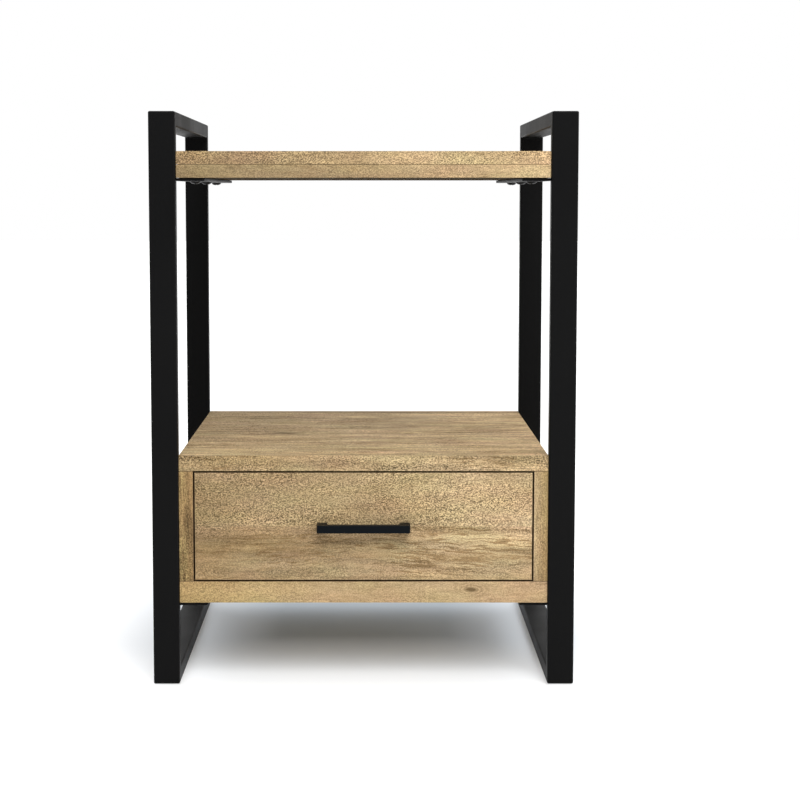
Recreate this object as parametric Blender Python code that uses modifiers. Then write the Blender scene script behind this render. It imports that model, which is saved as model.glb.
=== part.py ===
"""Side table with one drawer: two welded steel frames carry a solid-wood top and a drawer cabinet.

Metres, +Z up, +X to the right, the drawer opens towards -Y. The origin is on the floor, under the
middle of the whole object, handle included. Run with blender --background --python part.py.
"""

import math

import bmesh
import bpy
from mathutils import Matrix, Vector

# Overall sizes
OVERALL_WIDTH = 0.450
FRAME_DEPTH = 0.450
OVERALL_HEIGHT = 0.610

# Clearances
FIT_GAP = 0.0003  # between pieces that touch, are glued or are welded
REVEAL = 0.0015  # the visible gap round the inset drawer front
GROOVE_GAP = 0.0003

# Rectangular steel tube of the side frames; its flat, wide side faces forwards
TUBE_WIDTH = 0.028
TUBE_THICKNESS = 0.016
TUBE_WALL = 0.0015
TUBE_CORNER = 0.002
MITRE_CUTTER = 0.112  # side of the cube that cuts a mitre, well over the tube's width

# Push-in glides under the foot rails
GLIDE_HEIGHT = 0.0008
GLIDE_RADIUS = 0.0075
GLIDE_STEM_RADIUS = 0.004
GLIDE_STEM_LENGTH = 0.006
GLIDE_INSET = 0.034  # from the front or back of the frame to the glide's centre

# Flat bars welded inside each frame, which the wood rests on and is screwed to
BAR_WIDTH = 0.030
BAR_THICKNESS = 0.003
BAR_SETBACK = 0.006  # from the front or back of the frame
BAR_SCREW_INSET = 0.072  # from the front or back of the frame to the outer screws

# Wood: top board of two glued layers, and the cabinet's panels
WOOD_SETBACK = 0.0035  # the wood's front and back edges behind the frame's
WOOD_EDGE = 0.0007  # eased edges
TOP_DROP = 0.0415  # top of the frame down to the top board's face
TOP_LAYER = 0.0138
CABINET_UNDERSIDE = 0.0885
CABINET_BOTTOM = 0.0232
DRAWER_OPENING = 0.1188
CABINET_TOP = 0.0168
CABINET_SIDE = 0.0152
CABINET_BACK = 0.006
BACK_INSET = 0.003  # the back panel's face inside the back edges

# Drawer
DRAWER_FRONT = 0.018
DRAWER_SIDE = 0.012
DRAWER_BOTTOM = 0.005
DRAWER_BOTTOM_RISE = 0.010  # lower edge of the sides up to the bottom panel
DRAWER_GROOVE = 0.005
DRAWER_FLOOR_CLEARANCE = 0.012  # under the drawer's sides
DRAWER_HEAD_CLEARANCE = 0.016  # over the drawer's sides

# Telescopic slides, one pair of three nested channels, drawn with the drawer shut
SLIDE_SPACE = 0.0127  # between the cabinet's side and the drawer's side
SLIDE_SHEET = 0.0012
SLIDE_HEIGHT = 0.036
SLIDE_BALL_GAP = 0.0026  # between nested flanges
SLIDE_LIP = 0.0014
SLIDE_WEB_CLEARANCE = 0.0007  # between a screw head and the next channel
SLIDE_MIDDLE_CLEARANCE = 0.0017  # middle channel to the drawer's side
SLIDE_OUTER_CLEARANCE = 0.0024  # cabinet channel to the drawer's side
SLIDE_REAR_CLEARANCE = 0.012
SLIDE_SCREW_INSET = 0.045

# Square bar handle on two posts
HANDLE_LENGTH = 0.099
HANDLE_BAR = 0.0084
HANDLE_POST = 0.011
HANDLE_PROJECTION = 0.021
HANDLE_SCREW_GRIP = 0.007  # screw length inside the post
HANDLE_EDGE = 0.0007

# Screws: (head radius, head height, shank radius)
BAR_SCREW = (0.006, 0.0026, 0.002)
SLIDE_SCREW = (0.0038, 0.0018, 0.0016)
HANDLE_SCREW = (0.0045, 0.0022, 0.002)
BAR_SCREW_LENGTH = 0.0145
SLIDE_SCREW_LENGTH = 0.008
SCREW_HOLE_SPARE = 0.0006  # a blind hole's depth past the screw's tip
SCREW_RIM = 0.3  # the straight rim's share of a head's height

# Fineness of the meshes
ROUND_STEPS = 12
DOME_STEPS = 4
EDGE_STEPS = 2
CORNER_STEPS = 3
MERGE_DISTANCE = 0.00001

# Places that follow from the sizes
HANDLE_PAST_FRAME = HANDLE_PROJECTION - WOOD_SETBACK
FRAME_FRONT = (HANDLE_PAST_FRAME - FRAME_DEPTH) / 2
FRAME_BACK = FRAME_FRONT + FRAME_DEPTH
FRAME_MIDDLE = (FRAME_FRONT + FRAME_BACK) / 2
WOOD_FRONT = FRAME_FRONT + WOOD_SETBACK
WOOD_BACK = FRAME_BACK - WOOD_SETBACK
FRAME_INSIDE = OVERALL_WIDTH / 2 - TUBE_WIDTH  # the frames' inner faces, at plus and minus this X
WOOD_END = FRAME_INSIDE - FIT_GAP

TOP_FACE = OVERALL_HEIGHT - TOP_DROP
TOP_SEAM = TOP_FACE - TOP_LAYER
TOP_UNDERSIDE = TOP_SEAM - FIT_GAP - TOP_LAYER

OPENING_LOW = CABINET_UNDERSIDE + CABINET_BOTTOM
OPENING_HIGH = OPENING_LOW + DRAWER_OPENING
CABINET_FACE = OPENING_HIGH + CABINET_TOP
SIDE_INSIDE = WOOD_END - CABINET_SIDE
BACK_PANEL_FACE = WOOD_BACK - BACK_INSET
BACK_PANEL_INSIDE = BACK_PANEL_FACE - CABINET_BACK

FRONT_HALF_WIDTH = SIDE_INSIDE - REVEAL
FRONT_LOW = OPENING_LOW + REVEAL
FRONT_HIGH = OPENING_HIGH - REVEAL
BOX_FRONT = WOOD_FRONT + DRAWER_FRONT + FIT_GAP
BOX_BACK = BACK_PANEL_INSIDE - SLIDE_REAR_CLEARANCE
BOX_OUTSIDE = SIDE_INSIDE - SLIDE_SPACE
BOX_INSIDE = BOX_OUTSIDE - DRAWER_SIDE
BOX_LOW = OPENING_LOW + DRAWER_FLOOR_CLEARANCE
BOX_HIGH = OPENING_HIGH - DRAWER_HEAD_CLEARANCE
SLIDE_CENTRE = (BOX_LOW + BOX_HIGH) / 2

SIDES = (("left", -1), ("right", 1))


def clear_scene():
    for obj in list(bpy.data.objects):
        bpy.data.objects.remove(obj)


def new_collection(name):
    collection = bpy.data.collections.new(name)
    bpy.context.scene.collection.children.link(collection)
    return collection


def new_material(name, colour, roughness, metallic):
    material = bpy.data.materials.new(name)
    material.use_nodes = True
    shader = material.node_tree.nodes["Principled BSDF"]
    shader.inputs["Base Color"].default_value = (*colour, 1)
    shader.inputs["Roughness"].default_value = roughness
    shader.inputs["Metallic"].default_value = metallic
    return material


def keep(obj, name, material=None):
    """Names the object and files it with the table's parts, or with the cutters if it has no material."""
    obj.name = name
    for collection in list(obj.users_collection):
        collection.objects.unlink(obj)
    if material:
        TABLE.objects.link(obj)
        obj.data.materials.append(material)
    else:
        CUTTERS.objects.link(obj)
        obj.hide_render = True
        obj.display_type = "WIRE"
    return obj


def box(name, low, high, material=None, edge=0):
    """A box between two corners, with eased edges if edge is a width."""
    low, high = Vector(low), Vector(high)
    bpy.ops.mesh.primitive_cube_add(size=1, location=(low + high) / 2)
    obj = bpy.context.object
    obj.scale = high - low
    bpy.ops.object.transform_apply(location=False, rotation=False, scale=True)
    if edge:
        bevel = obj.modifiers.new("eased edges", "BEVEL")
        bevel.width = edge
        bevel.segments = EDGE_STEPS
    return keep(obj, name, material)


def attach(child, parent):
    """Makes child follow parent and leaves it where it is."""
    bpy.context.view_layer.update()
    child.parent = parent
    child.matrix_parent_inverse = parent.matrix_world.inverted()


def cut(obj, cutter):
    boolean = obj.modifiers.new("cut by " + cutter.name, "BOOLEAN")
    boolean.operation = "DIFFERENCE"
    boolean.object = cutter
    attach(cutter, obj)


def turned(name, profile, place, direction, material):
    """A round piece about the line through place along direction. The profile's (radius, height) points
    run from its top to its bottom."""
    mesh = bpy.data.meshes.new(name)
    points = [(radius, 0, height) for radius, height in profile]
    edges = [(i, i + 1) for i in range(len(points) - 1)]
    mesh.from_pydata(points, edges, [])
    obj = bpy.data.objects.new(name, mesh)
    bpy.context.scene.collection.objects.link(obj)
    obj.location = place
    obj.rotation_euler = Vector(direction).to_track_quat("Z", "Y").to_euler()
    screw = obj.modifiers.new("turned", "SCREW")
    screw.steps = screw.render_steps = ROUND_STEPS
    screw.use_merge_vertices = True
    screw.merge_threshold = MERGE_DISTANCE
    return keep(obj, name, material)


def drill(obj, name, place, direction, radius, depth):
    """Cuts a round hole that starts just outside place and runs depth along direction."""
    direction = Vector(direction)
    start = Vector(place) - direction * FIT_GAP
    length = depth + FIT_GAP
    bpy.ops.mesh.primitive_cylinder_add(
        vertices=ROUND_STEPS,
        radius=radius,
        depth=length,
        location=start + direction * length / 2,
        rotation=direction.to_track_quat("Z", "Y").to_euler(),
    )
    cutter = keep(bpy.context.object, name)
    cut(obj, cutter)
    return cutter


def screw(name, size, length, seat, direction, material, into):
    """A domed screw whose head rests at seat and whose shank points along direction. Each of the
    (piece, hole start, depth) in into is drilled for its shank; a depth of None follows the tip."""
    head_radius, head_height, shank_radius = size
    direction = Vector(direction)
    rim = head_height * SCREW_RIM
    dome = head_height - rim
    profile = [(0, length), (shank_radius, length - shank_radius), (shank_radius, 0), (head_radius, 0)]
    for step in range(DOME_STEPS):
        angle = math.radians(90) * step / DOME_STEPS
        profile.append((head_radius * math.cos(angle), -rim - dome * math.sin(angle)))
    profile.append((0, -head_height))
    place = Vector(seat) - direction * FIT_GAP
    turned(name, profile, place, direction, material)
    for piece, start, depth in into:
        if depth is None:
            depth = (place - Vector(start)).dot(direction) + length + SCREW_HOLE_SPARE
        drill(piece, f"hole in {piece.name} for {name}", start, direction, shank_radius + FIT_GAP, depth)


def tube(name, length, centre, along, material):
    """A hollow rectangular tube, its width along X, its axis along 'Y' or 'Z', open at both ends."""
    mesh = bpy.data.meshes.new(name)
    skin = bmesh.new()
    bmesh.ops.create_cube(skin, size=1)
    bmesh.ops.scale(skin, vec=(TUBE_WIDTH, TUBE_THICKNESS, length), verts=skin.verts)
    ends = [face for face in skin.faces if abs(face.normal.z) > 0.5]
    bmesh.ops.delete(skin, geom=ends, context="FACES_ONLY")
    long_edges = [edge for edge in skin.edges if len(edge.link_faces) == 2]
    bmesh.ops.bevel(
        skin, geom=long_edges, offset=TUBE_CORNER, segments=CORNER_STEPS, profile=0.5, affect="EDGES"
    )
    skin.to_mesh(mesh)
    skin.free()
    obj = bpy.data.objects.new(name, mesh)
    bpy.context.scene.collection.objects.link(obj)
    obj.location = centre
    if along == "Y":
        obj.rotation_euler = (math.radians(90), 0, 0)
    wall = obj.modifiers.new("wall", "SOLIDIFY")
    wall.thickness = TUBE_WALL
    wall.offset = -1
    wall.use_even_offset = True
    return keep(obj, name, material)


def mitre(obj, corner, outwards):
    """Cuts the tube's end at 45 degrees through the frame's outer corner, a (Y, Z) point. What lies on
    the outwards side, a (Y, Z) direction, goes."""
    normal = Vector((0, *outwards)).normalized()
    x = obj.location.x
    centre = Vector((x, *corner)) + normal * (MITRE_CUTTER / 2 - FIT_GAP / 2)
    bpy.ops.mesh.primitive_cube_add(size=MITRE_CUTTER, location=centre, rotation=(math.radians(45), 0, 0))
    cut(obj, keep(bpy.context.object, f"mitre of {obj.name} {outwards}"))


def side_frame(side, sign):
    """One welded frame: four mitred tubes, two flat bars inside it and two glides under it."""
    x = sign * (OVERALL_WIDTH / 2 - TUBE_WIDTH / 2)
    height = OVERALL_HEIGHT - GLIDE_HEIGHT
    middle_z = GLIDE_HEIGHT + height / 2
    half = TUBE_THICKNESS / 2
    ends = (("front", FRAME_FRONT, 1), ("back", FRAME_BACK, -1))
    levels = (("top_rail", OVERALL_HEIGHT, -1), ("foot_rail", GLIDE_HEIGHT, 1))
    legs = {}
    for end, y, inwards in ends:
        centre = (x, y + inwards * half, middle_z)
        legs[end] = tube(f"{side}_{end}_leg", height, centre, "Z", STEEL)
    for level, z, up in levels:
        rail = tube(f"{side}_{level}", FRAME_DEPTH, (x, FRAME_MIDDLE, z + up * half), "Y", STEEL)
        for end, y, inwards in ends:
            mitre(legs[end], (y, z), (inwards, -up))
            mitre(rail, (y, z), (-inwards, up))
        if level == "foot_rail":
            for end, y, inwards in ends:
                glide(f"{side}_{end}_glide", rail, x, y + inwards * GLIDE_INSET)


def glide(name, rail, x, y):
    """A plastic glide: a low foot and a stem that pushes into the rail."""
    foot = GLIDE_HEIGHT - FIT_GAP
    profile = [
        (0, GLIDE_STEM_LENGTH),
        (GLIDE_STEM_RADIUS, GLIDE_STEM_LENGTH),
        (GLIDE_STEM_RADIUS, 0),
        (GLIDE_RADIUS, 0),
        (GLIDE_RADIUS, -foot / 2),
        (GLIDE_RADIUS - foot / 2, -foot),
        (0, -foot),
    ]
    turned(name, profile, (x, y, foot), (0, 0, 1), PLASTIC)
    under_rail = (x, y, GLIDE_HEIGHT)
    drill(rail, f"hole for {name}", under_rail, (0, 0, 1), GLIDE_STEM_RADIUS + FIT_GAP, TUBE_THICKNESS / 2)


def support_bar(name, screw_name, side, sign, underside, wood):
    """A flat bar under a wooden piece, with three screws up into the wood."""
    high = underside - FIT_GAP
    low = high - BAR_THICKNESS
    outer, inner = sign * WOOD_END, sign * (WOOD_END - BAR_WIDTH)
    near, far = FRAME_FRONT + BAR_SETBACK, FRAME_BACK - BAR_SETBACK
    bar = box(f"{side}_{name}", (min(outer, inner), near, low), (max(outer, inner), far, high), STEEL)
    x = (outer + inner) / 2
    reach = FRAME_DEPTH / 2 - BAR_SCREW_INSET
    up = (0, 0, 1)
    for number, y in enumerate((FRAME_MIDDLE - reach, FRAME_MIDDLE, FRAME_MIDDLE + reach), 1):
        holes = ((bar, (x, y, low), BAR_THICKNESS + FIT_GAP), (wood, (x, y, underside), None))
        full_name = f"{side}_{screw_name}_{number}"
        screw(full_name, BAR_SCREW, BAR_SCREW_LENGTH, (x, y, low), up, BLACK_SCREW, holes)


def tabletop():
    """The top board: two layers glued face to face. Returns the lower one, which takes the screws."""
    low, high = (-WOOD_END, WOOD_FRONT, TOP_SEAM), (WOOD_END, WOOD_BACK, TOP_FACE)
    box("tabletop_upper_board", low, high, WOOD, WOOD_EDGE)
    low, high = (-WOOD_END, WOOD_FRONT, TOP_UNDERSIDE), (WOOD_END, WOOD_BACK, TOP_SEAM - FIT_GAP)
    return box("tabletop_lower_board", low, high, WOOD, WOOD_EDGE)


def cabinet():
    """The drawer cabinet's five panels. Returns them by name."""
    panels = {}
    low = (-WOOD_END, WOOD_FRONT, CABINET_UNDERSIDE)
    panels["bottom"] = box("cabinet_bottom", low, (WOOD_END, WOOD_BACK, OPENING_LOW), WOOD, WOOD_EDGE)
    low = (-WOOD_END, WOOD_FRONT, OPENING_HIGH)
    panels["top"] = box("cabinet_top", low, (WOOD_END, WOOD_BACK, CABINET_FACE), WOOD, WOOD_EDGE)
    for side, sign in SIDES:
        across = sorted((sign * WOOD_END, sign * SIDE_INSIDE))
        low = (across[0], WOOD_FRONT, OPENING_LOW + FIT_GAP)
        high = (across[1], WOOD_BACK, OPENING_HIGH - FIT_GAP)
        panels[side] = box(f"cabinet_{side}_side", low, high, WOOD, WOOD_EDGE)
    half = SIDE_INSIDE - FIT_GAP
    low = (-half, BACK_PANEL_INSIDE, OPENING_LOW + FIT_GAP)
    panels["back"] = box("cabinet_back", low, (half, BACK_PANEL_FACE, OPENING_HIGH - FIT_GAP), PLYWOOD)
    return panels


def drawer():
    """The drawer's five boards, the bottom held in a groove. Returns them by name."""
    boards = {}
    low = (-FRONT_HALF_WIDTH, WOOD_FRONT, FRONT_LOW)
    high = (FRONT_HALF_WIDTH, WOOD_FRONT + DRAWER_FRONT, FRONT_HIGH)
    boards["front"] = box("drawer_front", low, high, WOOD, WOOD_EDGE)
    for side, sign in SIDES:
        across = sorted((sign * BOX_OUTSIDE, sign * BOX_INSIDE))
        low, high = (across[0], BOX_FRONT, BOX_LOW), (across[1], BOX_BACK, BOX_HIGH)
        boards[side] = box(f"drawer_{side}_side", low, high, PLYWOOD)
    half = BOX_INSIDE - FIT_GAP
    low, high = (-half, BOX_BACK - DRAWER_SIDE, BOX_LOW), (half, BOX_BACK, BOX_HIGH)
    boards["back"] = box("drawer_back", low, high, PLYWOOD)

    panel_low = BOX_LOW + DRAWER_BOTTOM_RISE
    reach = DRAWER_GROOVE - GROOVE_GAP
    half = BOX_INSIDE + reach
    front, back = WOOD_FRONT + DRAWER_FRONT - reach, BOX_BACK - DRAWER_SIDE + reach
    low, high = Vector((-half, front, panel_low)), Vector((half, back, panel_low + DRAWER_BOTTOM))
    spare = Vector((GROOVE_GAP, GROOVE_GAP, GROOVE_GAP))
    groove = box("groove for the drawer's bottom", low - spare, high + spare)
    for board in boards.values():
        cut(board, groove)
    boards["bottom"] = box("drawer_bottom", low, high, PLYWOOD)
    return boards


def handle(front_board):
    """The bar, its two posts and the machine screws that hold them from inside the drawer."""
    height = (FRONT_LOW + FRONT_HIGH) / 2
    half = HANDLE_BAR / 2
    tip = WOOD_FRONT - HANDLE_PROJECTION
    low = (-HANDLE_LENGTH / 2, tip, height - half)
    high = (HANDLE_LENGTH / 2, tip + HANDLE_BAR, height + half)
    box("handle_bar", low, high, HANDLE_STEEL, HANDLE_EDGE)
    forwards = Vector((0, -1, 0))
    length = DRAWER_FRONT + HANDLE_SCREW_GRIP
    for side, sign in SIDES:
        x = sign * (HANDLE_LENGTH - HANDLE_POST) / 2
        low = (x - HANDLE_POST / 2, tip + HANDLE_BAR + FIT_GAP, height - half)
        high = (x + HANDLE_POST / 2, WOOD_FRONT - FIT_GAP, height + half)
        post = box(f"handle_{side}_post", low, high, HANDLE_STEEL)
        inside = (x, WOOD_FRONT + DRAWER_FRONT, height)
        outside = (x, WOOD_FRONT - FIT_GAP, height)
        holes = ((front_board, inside, DRAWER_FRONT + FIT_GAP), (post, outside, None))
        screw(f"handle_{side}_screw", HANDLE_SCREW, length, inside, forwards, ZINC, holes)


def channel(name, sign, web, flange, half_height, lip):
    """One C-shaped slide channel along Y. web and flange are distances from the cabinet's side: the
    web's outer face, and the flanges' ends, which are turned in by lip."""
    turn = 1 if flange > web else -1
    sheet = SLIDE_SHEET
    inner_web, inner_end = web + turn * sheet, flange - turn * sheet
    upper = [
        (inner_web, half_height - sheet),
        (inner_end, half_height - sheet),
        (inner_end, half_height - sheet - lip),
        (flange, half_height - sheet - lip),
        (flange, half_height),
        (web, half_height),
    ]
    if not lip:
        del upper[1:3]
        upper[1] = (flange, half_height - sheet)
    outline = upper + [(across, -height) for across, height in reversed(upper)]
    curve = bpy.data.curves.new(name, "CURVE")
    curve.dimensions = "2D"
    curve.fill_mode = "BOTH"
    curve.extrude = (BOX_BACK - BOX_FRONT) / 2
    spline = curve.splines.new("POLY")
    spline.points.add(len(outline) - 1)
    for point, (across, height) in zip(spline.points, outline):
        point.co = (sign * (SIDE_INSIDE - across), height, 0, 1)
    spline.use_cyclic_u = True
    drawn = bpy.data.objects.new(name, curve)
    bpy.context.scene.collection.objects.link(drawn)
    drawn.location = (0, (BOX_FRONT + BOX_BACK) / 2, SLIDE_CENTRE)
    drawn.rotation_euler = (math.radians(90), 0, 0)
    return keep(as_mesh(drawn), name, ZINC)


def as_mesh(drawn):
    """A curve object made into a mesh object at the same place, its caps welded."""
    bpy.context.view_layer.update()
    graph = bpy.context.evaluated_depsgraph_get()
    mesh = bpy.data.meshes.new_from_object(drawn.evaluated_get(graph))
    work = bmesh.new()
    work.from_mesh(mesh)
    bmesh.ops.remove_doubles(work, verts=work.verts, dist=MERGE_DISTANCE)
    bmesh.ops.recalc_face_normals(work, faces=work.faces)
    work.to_mesh(mesh)
    work.free()
    obj = bpy.data.objects.new(drawn.name, mesh)
    obj.matrix_world = Matrix(drawn.matrix_world)
    bpy.context.scene.collection.objects.link(obj)
    bpy.data.objects.remove(drawn)
    return obj


def slide(side, sign, cabinet_side, drawer_side):
    """A pair's three channels, nested: the cabinet's, the middle one and the drawer's."""
    space, sheet = SLIDE_SPACE, SLIDE_SHEET
    head_height = SLIDE_SCREW[1]
    cabinet_web = FIT_GAP
    cabinet_seat = cabinet_web + sheet
    middle_web = cabinet_seat + FIT_GAP + head_height + SLIDE_WEB_CLEARANCE
    drawer_web = space - FIT_GAP
    drawer_seat = drawer_web - sheet
    cabinet_half = SLIDE_HEIGHT / 2
    middle_half = cabinet_half - sheet - SLIDE_BALL_GAP
    drawer_half = middle_half - sheet - SLIDE_BALL_GAP
    outer_end, middle_end = space - SLIDE_OUTER_CLEARANCE, space - SLIDE_MIDDLE_CLEARANCE
    drawer_end = middle_web + sheet + SLIDE_WEB_CLEARANCE
    name = f"{side}_slide_cabinet_channel"
    outer = channel(name, sign, cabinet_web, outer_end, cabinet_half, SLIDE_LIP)
    channel(f"{side}_slide_middle_channel", sign, middle_web, middle_end, middle_half, SLIDE_LIP)
    inner = channel(f"{side}_slide_drawer_channel", sign, drawer_web, drawer_end, drawer_half, 0)

    outwards = Vector((sign, 0, 0))
    places = (("front", BOX_FRONT + SLIDE_SCREW_INSET), ("back", BOX_BACK - SLIDE_SCREW_INSET))
    for end, y in places:
        seat = (sign * (SIDE_INSIDE - cabinet_seat), y, SLIDE_CENTRE)
        wood = (sign * SIDE_INSIDE, y, SLIDE_CENTRE)
        holes = ((outer, seat, sheet + FIT_GAP), (cabinet_side, wood, None))
        name = f"{side}_slide_{end}_cabinet_screw"
        screw(name, SLIDE_SCREW, SLIDE_SCREW_LENGTH, seat, outwards, ZINC, holes)
        seat = (sign * (SIDE_INSIDE - drawer_seat), y, SLIDE_CENTRE)
        wood = (sign * BOX_OUTSIDE, y, SLIDE_CENTRE)
        holes = ((inner, seat, sheet + FIT_GAP), (drawer_side, wood, None))
        name = f"{side}_slide_{end}_drawer_screw"
        screw(name, SLIDE_SCREW, SLIDE_SCREW_LENGTH, seat, -outwards, ZINC, holes)


def moving_body(name, endings):
    """An empty that carries every piece whose name starts or ends with one of the endings. Moving it
    along -Y slides them out."""
    carrier = bpy.data.objects.new(name, None)
    carrier.location = (0, WOOD_FRONT, SLIDE_CENTRE)
    TABLE.objects.link(carrier)
    for piece in TABLE.objects:
        if piece is not carrier and (piece.name.startswith(endings) or piece.name.endswith(endings)):
            attach(piece, carrier)


clear_scene()
TABLE = new_collection("side table with drawer")
CUTTERS = new_collection("cutters")
STEEL = new_material("black powder-coated steel", (0.012, 0.012, 0.013), 0.45, 0.0)
WOOD = new_material("oiled solid wood", (0.47, 0.34, 0.19), 0.5, 0.0)
PLYWOOD = new_material("light plywood", (0.55, 0.43, 0.28), 0.6, 0.0)
HANDLE_STEEL = new_material("black handle", (0.010, 0.010, 0.012), 0.35, 0.0)
BLACK_SCREW = new_material("black screw", (0.02, 0.02, 0.02), 0.35, 0.8)
ZINC = new_material("zinc-plated steel", (0.62, 0.63, 0.65), 0.3, 1.0)
PLASTIC = new_material("black plastic", (0.015, 0.015, 0.015), 0.6, 0.0)

lower_board = tabletop()
panels = cabinet()
boards = drawer()
handle(boards["front"])
for side, sign in SIDES:
    side_frame(side, sign)
    support_bar("top_support_bar", "top_screw", side, sign, TOP_UNDERSIDE, lower_board)
    support_bar("cabinet_support_bar", "cabinet_screw", side, sign, CABINET_UNDERSIDE, panels["bottom"])
    slide(side, sign, panels[side], boards[side])
moving_body("drawer slides", ("drawer_", "handle_", "_drawer_channel", "_drawer_screw"))
moving_body("middle channels slide", ("_middle_channel",))
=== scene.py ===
"""Dresses the side table's mechanical frame: two welded steel side frames, a laminated top, a cabinet with
one inset drawer on ball-bearing slides, and a square bar pull. Metres, +Z up; the drawer opens along -Y."""

import math

import bmesh
import bpy
from bpy.props import FloatProperty, FloatVectorProperty, IntProperty, PointerProperty
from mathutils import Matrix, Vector


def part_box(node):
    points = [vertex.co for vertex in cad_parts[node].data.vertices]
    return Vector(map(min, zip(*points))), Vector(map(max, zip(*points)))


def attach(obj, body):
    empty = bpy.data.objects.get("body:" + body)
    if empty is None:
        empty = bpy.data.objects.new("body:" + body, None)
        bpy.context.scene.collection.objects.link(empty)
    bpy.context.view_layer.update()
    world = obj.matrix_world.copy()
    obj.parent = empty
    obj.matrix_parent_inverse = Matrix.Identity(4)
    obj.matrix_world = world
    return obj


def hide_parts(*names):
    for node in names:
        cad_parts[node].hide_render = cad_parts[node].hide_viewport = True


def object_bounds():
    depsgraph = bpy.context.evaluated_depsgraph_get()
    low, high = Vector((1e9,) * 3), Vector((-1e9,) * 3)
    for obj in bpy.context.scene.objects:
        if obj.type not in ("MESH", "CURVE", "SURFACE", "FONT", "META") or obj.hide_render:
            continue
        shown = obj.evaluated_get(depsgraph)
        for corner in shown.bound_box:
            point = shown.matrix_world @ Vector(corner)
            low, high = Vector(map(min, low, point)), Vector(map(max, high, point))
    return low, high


bl_info = {
    "name": "Side Table with Drawer",
    "version": (1, 0, 0),
    "blender": (4, 5, 0),
    "location": "3D View > Sidebar > Side Table",
    "description": "Builds the finished pieces of a steel and wood side table round its frame",
    "category": "Object",
}

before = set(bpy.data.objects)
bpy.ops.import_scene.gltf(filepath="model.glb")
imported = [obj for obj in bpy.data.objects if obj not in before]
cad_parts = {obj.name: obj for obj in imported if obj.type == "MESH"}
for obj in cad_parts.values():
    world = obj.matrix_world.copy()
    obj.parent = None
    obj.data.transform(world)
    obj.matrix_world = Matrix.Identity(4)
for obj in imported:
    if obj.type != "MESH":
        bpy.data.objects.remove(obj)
CAD_LOW, CAD_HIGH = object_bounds()
SIDES = (("left", -1), ("right", 1))
UP = Vector((0, 0, 1))
SHARP_EDGE = math.radians(40)
SMOOTH_BELOW = math.radians(50)
ALIGNED = 0.9  # least cosine between two directions that count as the same
NEAR = 0.001  # farthest an edge lies from the level it counts as lying on


# Where things are, read from the frame


def around(*nodes):
    """The lowest and highest corner of several CAD nodes together."""
    lows, highs = zip(*(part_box(node) for node in nodes))
    return Vector(map(min, *lows)), Vector(map(max, *highs))


def frame_nodes(side):
    return [f"{side}_{part}" for part in ("front_leg", "back_leg", "top_rail", "foot_rail")]


def length(name, default, description):
    return FloatProperty(name=name, description=description, default=default, min=0, unit="LENGTH")


def share(name, default, description):
    return FloatProperty(name=name, description=description, default=default, min=0, max=1, subtype="FACTOR")


def number(name, default, description):
    return FloatProperty(name=name, description=description, default=default)


def colour(name, default, description):
    return FloatVectorProperty(
        name=name, description=description, default=default, min=0, max=1, size=3, subtype="COLOR"
    )


# What a user would change


class SideTableSizes(bpy.types.PropertyGroup):
    tube_round: length("Tube corner", 0.0017, "Radius of the steel tubes' corners and ground welds")
    weld_width: length("Weld width", 0.0034, "Width of the ground weld across each mitre")
    bar_edge: length("Support bar edge", 0.0005, "Rounding of the support bars' sheared edges")
    bar_corner: length("Support bar corner", 0.004, "Radius of the support bars' free corners")
    wood_edge: length("Wood edge", 0.0006, "Easing of the solid boards' edges")
    # Painted shade: how far back the dark rims beside the drawer's gap reach
    gap_shade_depth: length("Stain depth", 0.005, "How far the stained rims run back along the drawer's gap")
    box_edge: length("Drawer box edge", 0.0025, "Rounding along the top of the drawer's boards")
    sheet_edge: length("Thin board edge", 0.0004, "Easing of the plywood's edges")
    pull_chamfer: length("Pull chamfer", 0.0026, "Chamfer at the ends of the pull's bar")
    pull_edge: length("Pull edge", 0.0005, "Rounding of the pull's edges")
    channel_sheet: length("Slide sheet", 0.0012, "Thickness of the slides' steel")
    channel_bend: length("Slide bend", 0.0016, "Radius of the slides' folded corners")
    channel_lip: length("Slide lip", 0.0014, "How far the slides' flanges turn in")
    channel_hole: length("Slide hole", 0.0032, "Radius of the access holes in the slides")
    recess_width: share("Recess width", 0.2, "Width of a screw's cross recess over its head's diameter")
    round_steps: IntProperty(name="Round steps", description="Sides of a round piece", default=32, min=12)


class SideTableColours(bpy.types.PropertyGroup):
    steel: colour("Steel paint", (0.003, 0.003, 0.0031), "Powder coat on the side frames")
    pull: colour("Pull paint", (0.0012, 0.0022, 0.0036), "Smooth paint on the pull")
    wood_pale: colour("Pale wood", (0.455, 0.337, 0.19), "The palest wood")
    wood_mid: colour("Wood", (0.362, 0.268, 0.147), "The usual wood")
    wood_brown: colour("Brown wood", (0.268, 0.187, 0.1), "Browner wood")
    wood_red: colour("Red wood", (0.222, 0.139, 0.064), "Heartwood with a red cast")
    wood_gold: colour("Golden wood", (0.38, 0.27, 0.12), "Yellower wood")
    wood_light: colour("Light wood", (0.53, 0.385, 0.215), "The lightest boards")
    streak: colour("Streaks", (0.19, 0.12, 0.055), "Dark growth bands")
    pore: colour("Pores", (0.11, 0.07, 0.032), "Open pores and knots")
    # Painted shade: the dark colour of the table top's underside, where shade falls
    underside_shade: colour("Underside", (0.04, 0.027, 0.012), "The stained underside of the table top")
    # Painted shade in the drawer's gap: the dark colour of the rims beside it
    gap_shade: colour("Stained rims", (0.034, 0.012, 0.004), "The stained rims beside the drawer front's gap")
    box_wood: colour("Box wood", (0.60, 0.47, 0.29), "The drawer box and back panel")
    zinc: colour("Zinc", (0.55, 0.56, 0.58), "Zinc plate on the slides and their screws")
    plastic: colour("Plastic", (0.012, 0.012, 0.012), "The glides")


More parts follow.
